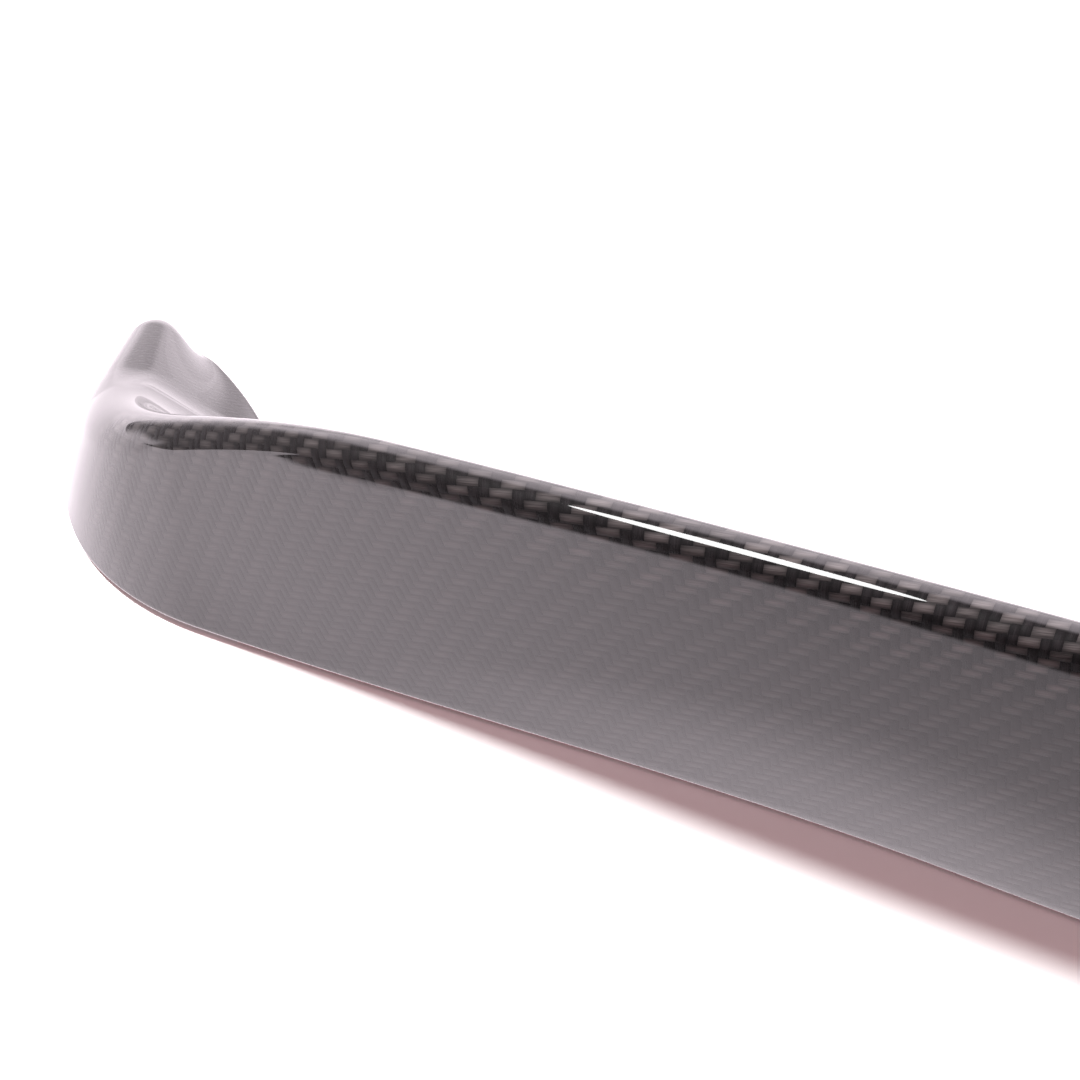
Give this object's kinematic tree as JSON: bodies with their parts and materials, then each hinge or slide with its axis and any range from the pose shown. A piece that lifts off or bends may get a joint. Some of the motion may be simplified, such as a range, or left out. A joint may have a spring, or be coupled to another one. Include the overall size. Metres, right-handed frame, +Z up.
{
  "type": "car rear spoiler",
  "caption": "Boot lid rear spoiler in gloss twill carbon fibre, with a ducktail lip and ends that wrap forward, on foam mounting tape with red release liner",
  "frame": {"origin": "middle of the bounding box, on the plane that the release liners lie on", "axes": "+X across the car to its right side, +Y to the front of the car, +Z up"},
  "size_m": [1.2598, 0.236, 0.0934],
  "materials": {
    "carbon_laminate": "2x2 twill carbon fibre under a thick gloss clear coat",
    "foam_tape": "matt closed cell foam",
    "release_liner": "smooth red film"
  },
  "bodies": {
    "root": {"spoiler_shell": "carbon_laminate", "rear_tape": "foam_tape", "rear_liner": "release_liner", "front_tape": "foam_tape", "front_liner": "release_liner"}
  },
  "joints": []
}
